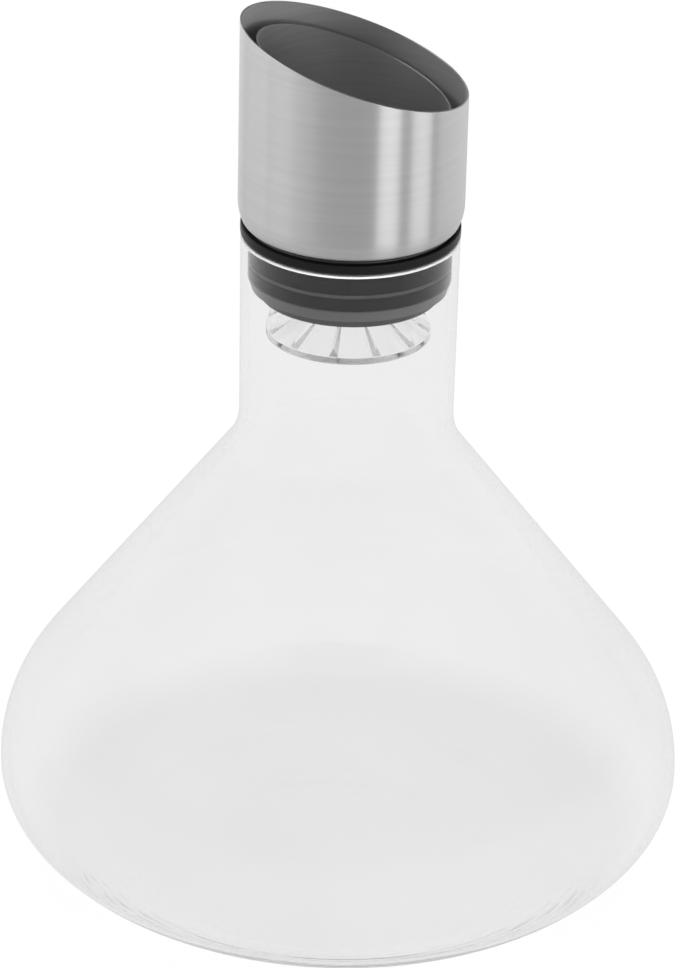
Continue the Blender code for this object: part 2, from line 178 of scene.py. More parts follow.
CORE_BORE = CORE_RADIUS - CORE_WALL
FUNNEL_RISE = math.tan(math.radians(FUNNEL_FLOOR_ANGLE))
CONE_RISE = math.tan(math.radians(AERATOR_SLOPE))


# Outlines in the (radius, height) plane

def polar(centre, radius, angle):
    """The point of a circle at an angle from the outward direction."""
    turn = math.radians(angle)
    return (centre[0] + radius * math.cos(turn), centre[1] + radius * math.sin(turn))


def arc(centre, radius, start, end, steps):
    """Points of a round stretch, from one angle to another."""
    return [polar(centre, radius, start + (end - start) * i / steps) for i in range(steps + 1)]


def bezier(first, first_handle, last_handle, last, steps):
    """Points of a cubic curve, without its first point."""
    corners = [Vector(p) for p in (first, first_handle, last_handle, last)]
    weights = (1, 3, 3, 1)
    points = []
    for step in range(1, steps + 1):
        t = step / steps
        point = Vector((0.0, 0.0))
        for k, (weight, corner) in enumerate(zip(weights, corners)):
            point += weight * t**k * (1 - t) ** (3 - k) * corner
        points.append(tuple(point))
    return points


def softened(outline, roundings):
    """A closed outline with each corner rounded, and a point beside each rounding to keep flats flat."""
    corners = [Vector(p) for p in outline]
    points = []
    neighbours = zip(corners[-1:] + corners, corners, corners[1:] + corners[:1], roundings)
    for before, corner, after, rounding in neighbours:
        back, ahead = before - corner, after - corner
        reach = min(rounding, SOFT_SHARE * back.length, SOFT_SHARE * ahead.length)
        start = corner + back.normalized() * reach
        end = corner + ahead.normalized() * reach
        points.append(tuple(start + back.normalized() * reach * SOFT_SUPPORT))
        for step in range(SOFT_STEPS + 1):
            t = step / SOFT_STEPS
            point = (1 - t) ** 2 * start + 2 * t * (1 - t) * corner + t**2 * end
            points.append(tuple(point))
        points.append(tuple(end + ahead.normalized() * reach * SOFT_SUPPORT))
    return points


def subdivided(outline, longest):
    """A closed outline with its straight stretches split, so that smooth shading stays near its bends."""
    points = []
    for a, b in zip(outline, outline[1:] + outline[:1]):
        pieces = max(1, math.ceil(math.dist(a, b) / longest))
        on_axis = a[0] == 0 and b[0] == 0
        for i in range(1 if on_axis else pieces):
            points.append((a[0] + (b[0] - a[0]) * i / pieces, a[1] + (b[1] - a[1]) * i / pieces))
    return points


def sheet_outline(path, thickness):
    """A closed outline of sheet metal: the path, and the path moved to its left by the thickness."""
    points = [Vector(p) for p in path]
    ways = [(b - a).normalized() for a, b in zip(points, points[1:])]
    moved = []
    for point, before, after in zip(points, ways[:1] + ways, ways + ways[-1:]):
        left = Vector((-before.y, before.x))
        mitre = (left + Vector((-after.y, after.x))).normalized()
        moved.append(tuple(point + mitre * (thickness / mitre.dot(left))))
    return list(path) + moved[::-1]


# Meshes

def turned(outline, steps):
    """A mesh from a closed outline spun round the Z axis. Points at radius 0 become poles."""
    bm = bmesh.new()
    verts = [bm.verts.new((r, 0.0, z)) for r, z in outline]
    pairs = zip(verts, verts[1:] + verts[:1])
    edges = [bm.edges.new(pair) for pair in pairs if max(v.co.x for v in pair) > 0]
    bmesh.ops.spin(
        bm, geom=verts + edges, cent=(0, 0, 0), axis=(0, 0, 1),
        angle=2 * math.pi, steps=steps, use_merge=True,
    )
    bmesh.ops.remove_doubles(bm, verts=bm.verts, dist=TURN_MERGE)
    return bm


def cut_slant(bm, height, slant):
    """Cuts a tube's top off along a plane that falls towards +X, and closes its rim."""
    tilt = math.radians(slant)
    cut = bmesh.ops.bisect_plane(
        bm, geom=bm.verts[:] + bm.edges[:] + bm.faces[:], plane_co=(0, 0, height),
        plane_no=(math.sin(tilt), 0, math.cos(tilt)), clear_outer=True,
    )
    rim = [e for e in cut["geom_cut"] if isinstance(e, bmesh.types.BMEdge)]
    bmesh.ops.bridge_loops(bm, edges=rim)


def turn_about_axis(bm, turn):
    """Turns a mesh round the Z axis."""
    spin = Matrix.Rotation(math.radians(turn), 3, "Z")
    bmesh.ops.rotate(bm, cent=(0, 0, 0), matrix=spin, verts=bm.verts)


def plate(outline, thickness, turn):
    """A flat plate of an outline, standing on a radius of the Z axis at the given turn."""
    bm = bmesh.new()
    face = bm.faces.new([bm.verts.new((r, -thickness / 2, z)) for r, z in outline])
    swept = bmesh.ops.extrude_face_region(bm, geom=[face])["geom"]
    far_side = [v for v in swept if isinstance(v, bmesh.types.BMVert)]
    bmesh.ops.translate(bm, vec=(0, thickness, 0), verts=far_side)
    turn_about_axis(bm, turn)
    return bm


def finish_mesh(mesh):
    """Smooth shading that breaks at sharp edges."""
    mesh.shade_smooth()
    mesh.set_sharp_from_angle(angle=math.radians(SMOOTH_ANGLE))


def make_object(bm, name):
    """Scales a mesh to metres and links it as one smooth-shaded object."""
    bmesh.ops.scale(bm, vec=(MM, MM, MM), verts=bm.verts)
    bmesh.ops.recalc_face_normals(bm, faces=bm.faces)
    mesh = bpy.data.meshes.new(name)
    bm.to_mesh(mesh)
    bm.free()
    finish_mesh(mesh)
    made = bpy.data.objects.new(name, mesh)
    bpy.context.scene.collection.objects.link(made)
    return made


def place(obj, finish, body, node):
    """Gives a piece its finish and the body that it rides on, and hides the node that it stands for."""
    obj.data.materials.clear()
    obj.data.materials.append(finish)
    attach(obj, body)
    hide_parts(node)
    return obj


def add_finish(obj, finish):
    """Gives a piece one more finish, for some of its faces, and returns its index."""
    obj.data.materials.append(finish)
    return len(obj.data.materials) - 1


# Finishes: pairs of greys or roughnesses are a dark or smooth one and a light or rough one

GLASS_IOR = 1.5
GLASS_SHEEN = 0.5            # grey that tints the glass's reflections
OUTER_GLASS_GREYS = (0.845, 0.865)
INNER_GLASS_GREYS = (0.985, 1.0)
INNER_BASE_SHADE = 0.88      # painted shade: share of the inner glass's clearness, at the base
GLASS_DRIFT = (14, 14, 22)   # noise cells per metre along each axis, here and below
GLASS_RELIEF_M = 0.0002
SHADOW_CLEARNESS = 0.94      # of the light that passes each face of a clear piece

# The rim's band, painted white as a highlight
RIM_HIGHLIGHT_CLEARNESS = 0.2
RIM_HIGHLIGHT_GREYS = (0.85, 0.93)
RIM_HIGHLIGHT_ROUGHNESS = (0.35, 0.50)
RIM_HIGHLIGHT_MOTTLE = (3000, 3000, 3000)

PLASTIC_IOR = 1.33
PLASTIC_GREYS = (0.985, 0.995)
PLASTIC_ROUGHNESS = (0.12, 0.18)
PLASTIC_HAZE = (90, 90, 90)

BRUSH_HAIRS = (25, 25, 2600)
BRUSH_HAIR_DETAIL = 4.0
BRUSH_HAIR_ROUGHNESS = 0.7
BRUSH_BANDS = (12, 12, 900)
BRUSH_RELIEF_M = 0.000004
QUARTER_TURN = 0.25          # of the streaks, from along the brushing to across it

MOULD_RELIEF_M = 0.000002
MOULD_DETAIL = 4.0

SILICONE_SHEEN = 0.1
SILICONE_PAINTED_LIGHT = 0.18        # painted light: grey of the faces that the glass doesn't press
SILICONE_PRESSED = 0.013
SILICONE_ROUGHNESS = (0.30, 0.36)
SILICONE_SKIN = (60, 60, 60)


def principled(name, **values):
    """A new node material, its tree and its Principled shader, with the given values on its sockets."""
    made = bpy.data.materials.new(name)
    made.use_nodes = True
    shader = made.node_tree.nodes["Principled BSDF"]
    for socket, value in values.items():
        shader.inputs[socket.replace("_", " ")].default_value = value
    return made, made.node_tree, shader


def noise(tree, cells, detail=3.0, roughness=0.55):
    """Noise over the object's own coordinates, with a number of cells per metre for each axis."""
    where = tree.nodes.new("ShaderNodeTexCoord")
    stretch = tree.nodes.new("ShaderNodeMapping")
    stretch.inputs["Scale"].default_value = cells
    made = tree.nodes.new("ShaderNodeTexNoise")
    made.inputs["Scale"].default_value = 1.0
    made.inputs["Detail"].default_value = detail
    made.inputs["Roughness"].default_value = roughness
    tree.links.new(where.outputs["Object"], stretch.inputs["Vector"])
    tree.links.new(stretch.outputs["Vector"], made.inputs["Vector"])
    return made.outputs["Fac"]


def grey(level):
    """An opaque neutral colour."""
    return (level, level, level, 1.0)


def ramp(tree, value, first, last, low=0.35, high=0.65):
    """A grey between two, as a value goes from low to high."""
    made = tree.nodes.new("ShaderNodeValToRGB")
    stops = made.color_ramp.elements
    stops[0].position, stops[1].position = low, high
    stops[0].color, stops[1].color = grey(first), grey(last)
    tree.links.new(value, made.inputs["Fac"])
    return made.outputs["Color"]


def spread(tree, value, first, last, low=0.3, high=0.7):
    """A number between two, as a value goes from low to high."""
    made = tree.nodes.new("ShaderNodeMapRange")
    for socket, number in zip(("From Min", "From Max", "To Min", "To Max"), (low, high, first, last)):
        made.inputs[socket].default_value = number
    tree.links.new(value, made.inputs["Value"])
    return made.outputs["Result"]


def foot_height(tree):
    """Height over the foot, in metres."""
    where = tree.nodes.new("ShaderNodeTexCoord")
    parts = tree.nodes.new("ShaderNodeSeparateXYZ")
    tree.links.new(where.outputs["Object"], parts.inputs["Vector"])
    return parts.outputs["Z"]


def axis_distance(tree):
    """Distance from the Z axis, in metres."""
    where = tree.nodes.new("ShaderNodeTexCoord")
    level = tree.nodes.new("ShaderNodeVectorMath")
    level.operation = "MULTIPLY"
    level.inputs[1].default_value = (1.0, 1.0, 0.0)
    length = tree.nodes.new("ShaderNodeVectorMath")
    length.operation = "LENGTH"
    tree.links.new(where.outputs["Object"], level.inputs[0])
    tree.links.new(level.outputs["Vector"], length.inputs[0])
    return length.outputs["Value"]


def bump(tree, shader, height, relief):
    """Fine relief in a shader, as high as the given number of metres."""
    made = tree.nodes.new("ShaderNodeBump")
    made.inputs["Strength"].default_value = 1.0
    made.inputs["Distance"].default_value = relief
    tree.links.new(height, made.inputs["Height"])
    tree.links.new(made.outputs["Normal"], shader.inputs["Normal"])


def arithmetic(tree, operation, first, second):
    """The result of a Math node on two sockets."""
    made = tree.nodes.new("ShaderNodeMath")
    made.operation = operation
    tree.links.new(first, made.inputs[0])
    tree.links.new(second, made.inputs[1])
    return made.outputs["Value"]


def seen_by(tree, *rays):
    """1 for the named kinds of ray, and 0 for the others."""
    path = tree.nodes.new("ShaderNodeLightPath")
    seen = path.outputs[rays[0]]
    for ray in rays[1:]:
        seen = arithmetic(tree, "MAXIMUM", seen, path.outputs[ray])
    return seen


def show_mix(tree, share, first, second, output):
    """Sends a mix of two shaders to the tree's output: the first at a share of 0, the second at 1."""
    mix = tree.nodes.new("ShaderNodeMixShader")
    tree.links.new(share, mix.inputs["Fac"])
    tree.links.new(first, mix.inputs[1])
    tree.links.new(second, mix.inputs[2])
    tree.links.new(mix.outputs["Shader"], tree.nodes[output].inputs["Surface"])


def let_lamps_through(tree, shader):
    """Lets the lamps' light pass, so that clear pieces don't throw a solid shadow."""
    clear = tree.nodes.new("ShaderNodeBsdfTransparent")
    clear.inputs["Color"].default_value = grey(SHADOW_CLEARNESS)
    in_shadow = seen_by(tree, "Is Shadow Ray")
    show_mix(tree, in_shadow, shader.outputs["BSDF"], clear.outputs["BSDF"], "Material Output")


def blown_glass(name, greys, base):
    """Clear glass, uneven as a blown wall is, darkened at the base to the given share of its clearness as
    painted shade.
    """
    made, tree, shader = principled(
        name, Roughness=0.0, IOR=GLASS_IOR, Transmission_Weight=1.0, Specular_Tint=grey(GLASS_SHEEN),
    )
    drift = noise(tree, GLASS_DRIFT, detail=2.0)
    low, high = (PUNT_RISE + BASE_THICKNESS) * MM, BASE_SHADE_TOP * MM
    tint = tree.nodes.new("ShaderNodeVectorMath")
    tint.operation = "SCALE"
    tree.links.new(ramp(tree, drift, *greys), tint.inputs["Vector"])
    tree.links.new(spread(tree, foot_height(tree), base, 1.0, low, high), tint.inputs["Scale"])
    tree.links.new(tint.outputs["Vector"], shader.inputs["Base Color"])
    bump(tree, shader, drift, GLASS_RELIEF_M)
    let_lamps_through(tree, shader)
    return made


def rim_highlight_glass():
    """The band at the rim, painted white as a highlight."""
    made, tree, shader = principled("rim_highlight_glass", IOR=GLASS_IOR, Transmission_Weight=RIM_HIGHLIGHT_CLEARNESS)
    mottle = noise(tree, RIM_HIGHLIGHT_MOTTLE, detail=2.0)
    tree.links.new(ramp(tree, mottle, *RIM_HIGHLIGHT_GREYS), shader.inputs["Base Color"])
    tree.links.new(spread(tree, mottle, *RIM_HIGHLIGHT_ROUGHNESS), shader.inputs["Roughness"])
    return made


def clear_plastic():
    """Clear moulded plastic, slightly hazy where the mould was duller."""
    made, tree, shader = principled("clear_plastic", IOR=PLASTIC_IOR, Transmission_Weight=1.0)
    haze = noise(tree, PLASTIC_HAZE, detail=2.0)
    tree.links.new(ramp(tree, haze, *PLASTIC_GREYS), shader.inputs["Base Color"])
    tree.links.new(spread(tree, haze, *PLASTIC_ROUGHNESS), shader.inputs["Roughness"])
    let_lamps_through(tree, shader)
    return made


def brushed_steel(name, greys, roughness, streak):
    """Steel brushed round its axis: fine lines in colour, gloss and relief, and upright streaks."""
    made, tree, shader = principled(
        name, Metallic=1.0, Anisotropic=streak, Anisotropic_Rotation=QUARTER_TURN,
    )
    hairs = noise(tree, BRUSH_HAIRS, BRUSH_HAIR_DETAIL, BRUSH_HAIR_ROUGHNESS)
    bands = noise(tree, BRUSH_BANDS)
    tree.links.new(ramp(tree, bands, *greys), shader.inputs["Base Color"])
    tree.links.new(spread(tree, hairs, *roughness), shader.inputs["Roughness"])
    bump(tree, shader, hairs, BRUSH_RELIEF_M)
    grain = tree.nodes.new("ShaderNodeTangent")
    grain.direction_type = "RADIAL"
    grain.axis = "Z"
    tree.links.new(grain.outputs["Tangent"], shader.inputs["Tangent"])
    return made


def moulded_black(name, greys, roughness, grain):
    """Black rubber or plastic with a fine moulded grain."""
    made, tree, shader = principled(name)
    skin = noise(tree, (grain, grain, grain), MOULD_DETAIL)
    tree.links.new(ramp(tree, skin, *greys), shader.inputs["Base Color"])
    tree.links.new(spread(tree, skin, *roughness), shader.inputs["Roughness"])
    bump(tree, shader, skin, MOULD_RELIEF_M)
    return made


def black_silicone(band):
    """Black silicone at the bands of the given radius, which the glass presses, with painted light that
    makes the faces clear of the glass paler.
    """
    made, tree, shader = principled("black_silicone", Specular_IOR_Level=SILICONE_SHEEN)
    lit_radius, unlit_radius = band - PAINTED_LIGHT_DEPTH, band - PAINTED_LIGHT_FADE
    # Faces inside the bands' radius are painted lighter
    unlit_share = spread(tree, axis_distance(tree), 0.0, 1.0, lit_radius * MM, unlit_radius * MM)
    shade = ramp(tree, unlit_share, SILICONE_PAINTED_LIGHT, SILICONE_PRESSED, low=0.0, high=1.0)
    tree.links.new(shade, shader.inputs["Base Color"])
    skin = noise(tree, SILICONE_SKIN, detail=1.0)
    tree.links.new(spread(tree, skin, *SILICONE_ROUGHNESS), shader.inputs["Roughness"])
    return made


# Pieces

def shoulder_angle(fillet_centre, fillet, belly_centre, round_above):
    """Lean, from vertical, of the straight shoulder between the neck's fillet and the belly's arc."""
    across = belly_centre[0] - fillet_centre[0]
    down = belly_centre[1] - fillet_centre[1]
    reach = math.acos(-(fillet + round_above) / math.hypot(across, down))
    return math.degrees(math.atan2(down, across) + reach)


def carafe_wall(neck, inset, floor):
    """One face of the glass from under the rim to the foot, the given inset inside the outer face."""
    neck_foot = (neck - NECK_TAPER, RIM - NECK_LENGTH)
    fillet = SHOULDER_FILLET + inset
    fillet_centre = (neck_foot[0] + fillet, neck_foot[1])
    belly = BELLY_RADIUS - inset
    round_above = BELLY_ARC - inset
    belly_centre = (belly - round_above, BELLY_HEIGHT)
    lean = shoulder_angle(fillet_centre, fillet, belly_centre, round_above)
    shoulder = arc(fillet_centre, fillet, 180, 180 + lean, SHOULDER_STEPS)
    upper = arc(belly_centre, round_above, lean, 0, BELLY_STEPS)
    widest_handle = (belly, BELLY_HEIGHT - HEEL_DROP)
    foot_handle = (FOOT_RADIUS + HEEL_REACH, floor)
    heel = bezier(upper[-1], widest_handle, foot_handle, (FOOT_RADIUS, floor), HEEL_STEPS)
    return shoulder + upper + heel


def carafe_outline():
    """The glass's section: outer face, foot and punt, inner face, rounded rim."""
    bore = NECK_RADIUS - NECK_WALL
    inner_foot = FOOT + BASE_THICKNESS
    outer = carafe_wall(NECK_RADIUS, 0.0, FOOT)
    inner = carafe_wall(bore, BODY_WALL, inner_foot)
    punt_edge = FOOT_RADIUS - FOOT_WIDTH
    handle = punt_edge / 2
    rise = FOOT + PUNT_RISE
    crown = rise + BASE_THICKNESS
    punt = bezier((punt_edge, FOOT), (handle, FOOT), (handle, rise), (0.0, rise), PUNT_STEPS)
    floor = bezier((0.0, crown), (handle, crown), (handle, inner_foot), inner[-1], PUNT_STEPS)
    rounding = NECK_WALL / 2
    bend = RIM - rounding
    under = bend - RIM_SUPPORT
    rim = arc((NECK_RADIUS - rounding, bend), rounding, 180, 0, RIM_STEPS)
    base = [(punt_edge, FOOT)] + punt + [(0.0, crown)] + floor
    return outer + base + inner[-2::-1] + [(bore, under)] + rim + [(NECK_RADIUS, under)]


def make_carafe():
    """The glass, with its inner faces and its rim's painted highlight in finishes of their own."""
    outline = subdivided(carafe_outline(), LONGEST_STRETCH)
    carafe = make_object(turned(outline, GLASS_STEPS), "carafe_glass")
    outside = blown_glass("outer_glass", OUTER_GLASS_GREYS, base=1.0)
    # The inner faces are darker at the base: painted shade
    inside = blown_glass("inner_glass", INNER_GLASS_GREYS, base=INNER_BASE_SHADE)
    place(carafe, outside, "carafe", "glass_carafe")
    inside_slot = add_finish(carafe, inside)
    highlight_slot = add_finish(carafe, rim_highlight_glass())
    # All inner faces look towards a point on the axis, well inside the belly
    in_belly = Vector((0.0, 0.0, 2 * BELLY_HEIGHT * MM))
    for face in carafe.data.polygons:
        # The top of the rim is painted white as a highlight
        if face.center.z > (RIM - RIM_HIGHLIGHT_DEPTH) * MM:
            face.material_index = highlight_slot
        elif face.normal.dot(in_belly - face.center) > 0:
            face.material_index = inside_slot
    return carafe


def make_seal():
    """The seal: grooved sleeve with a tapered end, rounded flange on the glass, recess for the core."""
    neck_bore = NECK_RADIUS - NECK_WALL - NECK_TAPER * (RIM - SLEEVE_END) / NECK_LENGTH
    band = neck_bore - FIT_GAP
    groove = band - GROOVE_INSET
    bore = CORE_RADIUS + FIT_GAP
    recess = FLANGE_RADIUS - FLANGE_LIP
    recess_floor = FLANGE_TOP - FLANGE_RECESS_DEPTH
    groove_middle = RIM - GROOVE_DEPTH
    under = RIM + FIT_GAP
    sleeve = [
        (bore, recess_floor), (bore, SLEEVE_END), (band - LEAD_IN_INSET, SLEEVE_END),
        (band, SLEEVE_END + LEAD_IN_LENGTH), (band, groove_middle - GROOVE_WIDTH / 2),
        (groove, groove_middle), (band, groove_middle + GROOVE_WIDTH / 2),
        (band, RIM - SLEEVE_ROOT_DEPTH), (groove, under),
    ]
    flange = [(FLANGE_RADIUS, under), (FLANGE_RADIUS, FLANGE_TOP)]
    seat = [(recess, FLANGE_TOP), (recess, recess_floor)]
    roundings = [SOFT_EDGE] * len(sleeve) + [FLANGE_ROUNDING] * len(flange) + [SOFT_EDGE] * len(seat)
    outline = softened(sleeve + flange + seat, roundings)
    seal = make_object(turned(outline, ROUND_STEPS), "seal_silicone")
    return place(seal, black_silicone(band), "seal", "silicone_seal")


def make_core(plastic):
    """The core: tube with a thin flange under the collar and a bead under the seal."""
    bead = CORE_RADIUS + CORE_BEAD_WIDTH
    bead_top = CORE_BOTTOM + CORE_BEAD_HEIGHT
    flange_top = COLLAR_BOTTOM - FIT_GAP
    flange_bottom = flange_top - CORE_FLANGE_THICKNESS
    corners = [
        (CORE_BORE, CORE_TOP), (CORE_BORE, CORE_BOTTOM), (bead, CORE_BOTTOM), (bead, bead_top),
        (CORE_RADIUS, bead_top), (CORE_RADIUS, flange_bottom), (CORE_FLANGE_RADIUS, flange_bottom),
        (CORE_FLANGE_RADIUS, flange_top), (CORE_RADIUS, flange_top), (CORE_RADIUS, CORE_TOP),
    ]
    outline = softened(corners, [CORE_BEAD_ROUNDING] * len(corners))
    core = make_object(turned(outline, ROUND_STEPS), "core_plastic")
    return place(core, plastic, "pourer", "stopper_core")


def round_cut_edges(obj):
    """Rounds the sheet's cut edges without touching the shading of its walls."""
    modifier = obj.modifiers.new("cut_edges", "BEVEL")
    modifier.width = SHEET_BEVEL * MM
    modifier.segments = SHEET_BEVEL_STEPS
    modifier.limit_method = "ANGLE"
    modifier.angle_limit = math.radians(SMOOTH_ANGLE)
    modifier.harden_normals = True


def make_collar(outside, inside):
    """The outer sleeve: holed floor, small corner, heel that widens to the full radius, slanted mouth."""
    sweep = COLLAR_HEEL_SWEEP
    heel_drop = (COLLAR_HEEL_RADIUS - COLLAR_CORNER) * math.sin(math.radians(sweep))
    heel_centre = (COLLAR_RADIUS - COLLAR_HEEL_RADIUS, COLLAR_BOTTOM + COLLAR_CORNER + heel_drop)
    corner_centre = polar(heel_centre, COLLAR_HEEL_RADIUS - COLLAR_CORNER, -sweep)
    corner = arc(corner_centre, COLLAR_CORNER, -90, -sweep, COLLAR_CORNER_STEPS)
    heel = arc(heel_centre, COLLAR_HEEL_RADIUS, -sweep, 0, COLLAR_HEEL_STEPS)
    mouth = RIM + COLLAR_RIM_HEIGHT
    above_cut = mouth + COLLAR_RADIUS
    path = [(CORE_RADIUS + FIT_GAP, COLLAR_BOTTOM)] + corner + heel[1:] + [(COLLAR_RADIUS, above_cut)]
    bm = turned(sheet_outline(path, SHEET), ROUND_STEPS)
    cut_slant(bm, mouth, COLLAR_SLANT)
    collar = make_object(bm, "collar_steel")
    round_cut_edges(collar)
    place(collar, outside, "pourer", "outer_collar")
    # Inward faces take the darker steel, whose darker grey is painted shade
    inside_slot = add_finish(collar, inside)
    for face in collar.data.polygons:
        outward = Vector((face.center.x, face.center.y, 0.0))
        if face.normal.dot(outward) < 0:
            face.material_index = inside_slot
    return collar


def funnel_floor(radius):
    """Height of the funnel floor's underside, which lies on the gasket's sloped top."""
    gap = FIT_GAP / math.cos(math.radians(FUNNEL_FLOOR_ANGLE))
    gasket_bore = CORE_BORE + GASKET_INSET
    return GASKET_BOTTOM + GASKET_THICKNESS + gap + (radius - gasket_bore) * FUNNEL_RISE


def make_funnel(steel):
    """The inner cup: spout in the core's bore, sloped floor, straight wall, slanted mouth."""
    slope = FUNNEL_FLOOR_ANGLE
    spout = CORE_BORE - FIT_GAP
    knee_drop = SPOUT_KNEE * math.tan(math.radians(90 - slope) / 2)
    knee_centre = (spout + SPOUT_KNEE, funnel_floor(spout) - knee_drop)
    knee = arc(knee_centre, SPOUT_KNEE, 180, 90 + slope, SPOUT_KNEE_STEPS)
    corner_radius = FUNNEL_RADIUS - FUNNEL_FLOOR_CORNER
    touch = polar((corner_radius, 0.0), FUNNEL_FLOOR_CORNER, slope - 90)
    corner_centre = (corner_radius, funnel_floor(touch[0]) - touch[1])
    corner = arc(corner_centre, FUNNEL_FLOOR_CORNER, slope - 90, 0, FUNNEL_CORNER_STEPS)
    mouth = RIM + FUNNEL_RIM_HEIGHT
    path = [(spout, SPOUT_END)] + knee + corner + [(FUNNEL_RADIUS, mouth + FUNNEL_RADIUS)]
    bm = turned(sheet_outline(path, SHEET), ROUND_STEPS)
    cut_slant(bm, mouth, FUNNEL_SLANT)
    funnel = make_object(bm, "funnel_steel")
    round_cut_edges(funnel)
    return place(funnel, steel, "pourer", "inner_funnel")


def cone_height(radius):
    """Height of the spreader cone's upper face."""
    return AERATOR_BOTTOM + AERATOR_RIM_EDGE + (AERATOR_RADIUS - radius) * CONE_RISE


def spreader_cone():
    """The spreader's plain cone: flat tip, even wall, thicker rim."""
    tip = cone_height(AERATOR_TIP_RADIUS)
    drop = AERATOR_WALL / math.cos(math.radians(AERATOR_SLOPE))
    rim_inside = AERATOR_RADIUS - AERATOR_RIM_WIDTH
    outline = [
        (0.0, tip), (AERATOR_TIP_RADIUS, tip), (AERATOR_RADIUS, cone_height(AERATOR_RADIUS)),
        (AERATOR_RADIUS, AERATOR_BOTTOM), (rim_inside, AERATOR_BOTTOM),
        (AERATOR_TIP_RADIUS, tip - drop), (0.0, tip - drop),
    ]
    return turned(outline, ROUND_STEPS)


def rib(turn):
    """A wedge on the cone that grows towards its rim, with a sharp crest and its foot sunk in."""
    bm = bmesh.new()
    ends = []
    inner_end = AERATOR_RADIUS - RIB_LENGTH
    outer_end = AERATOR_RADIUS - RIB_END_INSET
    for radius, (width, height) in ((inner_end, RIB_INNER_SIZE), (outer_end, RIB_OUTER_SIZE)):
        foot = cone_height(radius) - RIB_SINK
        section = [(-width / 2, foot), (width / 2, foot), (0.0, cone_height(radius) + height)]
        ends.append([bm.verts.new((radius, y, z)) for y, z in section])
    inner, outer = ends
    for i in range(3):
        bm.faces.new([inner[i], inner[i - 1], outer[i - 1], outer[i]])
    bm.faces.new(inner)
    bm.faces.new(outer[::-1])
    turn_about_axis(bm, turn)
    return bm


def joined(base, others):
    """One mesh object made of a base and others, which are used up."""
    for other in others:
        modifier = base.modifiers.new(other.name, "BOOLEAN")
        modifier.operation = "UNION"
        modifier.object = other
    evaluated = base.evaluated_get(bpy.context.evaluated_depsgraph_get())
    mesh = bpy.data.meshes.new_from_object(evaluated)
    bm = bmesh.new()
    bm.from_mesh(mesh)
    bmesh.ops.remove_doubles(bm, verts=bm.verts, dist=UNION_MERGE * MM)
    bmesh.ops.triangulate(bm, faces=bm.faces)
    bm.to_mesh(mesh)
    bm.free()
    base.modifiers.clear()
    base.data = mesh
    finish_mesh(mesh)
    for other in others:
        bpy.data.objects.remove(other)
    return base


def make_spreader():
    """Clear moulding: ribbed cone, ring in the core's bore, fins that hang the cone from the ring."""
    radius = CORE_BORE - FIT_GAP
    inside = radius - AERATOR_RING_WALL
    bottom = AERATOR_TOP - AERATOR_RING_HEIGHT
    ring = [(inside, AERATOR_TOP), (inside, bottom), (radius, bottom), (radius, AERATOR_TOP)]
    in_ring = inside + AERATOR_RING_WALL / 2
    fin_top = AERATOR_TOP - FIN_SHORT
    fin = [
        (FIN_INNER_RADIUS, cone_height(FIN_INNER_RADIUS) - RIB_SINK), (FIN_INNER_RADIUS, fin_top),
        (in_ring, fin_top), (in_ring, bottom + FIN_SHORT),
        (FIN_FOOT_RADIUS, cone_height(FIN_FOOT_RADIUS) - RIB_SINK),
    ]
    details = [make_object(turned(ring, ROUND_STEPS), "ring")]
    for i in range(RIB_COUNT):
        turn = RIB_TURN + 360 * i / RIB_COUNT
        details.append(make_object(rib(turn), f"rib_{i}"))
        if i % FIN_EVERY == 0:
            details.append(make_object(plate(fin, FIN_THICKNESS, turn), f"fin_{i}"))
    spreader = joined(make_object(spreader_cone(), "spreader_plastic"), details)
    return place(spreader, clear_plastic(), "pourer", "aerator_spreader")


def make_pieces():
    """All pieces, in the groups that the lamps light: glass, collar, funnel, and the moulded ones."""
    plastic = moulded_black("black_plastic", greys=(0.045, 0.055), roughness=(0.30, 0.40), grain=700)
    rubber = moulded_black("gasket_rubber", greys=(0.012, 0.022), roughness=(0.45, 0.60), grain=800)
    for node, finish in (("clamp_nut", plastic), ("funnel_gasket", rubber)):
        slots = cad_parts[node].data.materials
        slots.clear()
        slots.append(finish)
    outer_steel = brushed_steel(
        "outer_brushed_steel", greys=(0.56, 0.59), roughness=(0.35, 0.37), streak=0.95,
    )
    # The collar's inside: a rougher finish, and a darker grey that is painted shade
    painted_shade_steel = brushed_steel(
        "painted_shade_brushed_steel", greys=(0.48, 0.52), roughness=(0.72, 0.78), streak=0.3,
    )
    inner_steel = brushed_steel(
        "inner_brushed_steel", greys=(0.55, 0.60), roughness=(0.50, 0.56), streak=0.3,
    )
    glass = make_carafe()
    collar = make_collar(outer_steel, painted_shade_steel)
    funnel = make_funnel(inner_steel)
    moulded = [make_seal(), make_core(plastic), make_spreader()]
    return glass, collar, funnel, moulded


# Floor, light and camera

FLOOR_SIZE_M = 16.0
FLOOR_SQUARES = 8            # along each side
FLOOR_GREY = 0.85
FLOOR_ROUGHNESS = 0.9
FLOOR_GLOW = 0.92            # share of the floor's white that doesn't depend on the lamps
WHITE_MIRRORED = 0.70        # strength of floor and backdrop in reflections: the glass keeps its outline
FLOOR_GAP = 0.4              # under the foot, so that the glass meets air and not the floor
BACKDROP_FULL = 0.05         # sine of the elevation up to which the backdrop is white
BACKDROP_END = 0.35          # and of the one where the ceiling is dark
BACKDROP_LIGHT = 0.6         # radiance that lights the object
CEILING_LIGHT = 0.06


def white_strength(tree):
    """Strength of floor and backdrop: full to the eye and through glass, and less in reflections."""
    return spread(tree, seen_by(tree, "Is Reflection Ray"), 1.0, WHITE_MIRRORED, low=0.0, high=1.0)


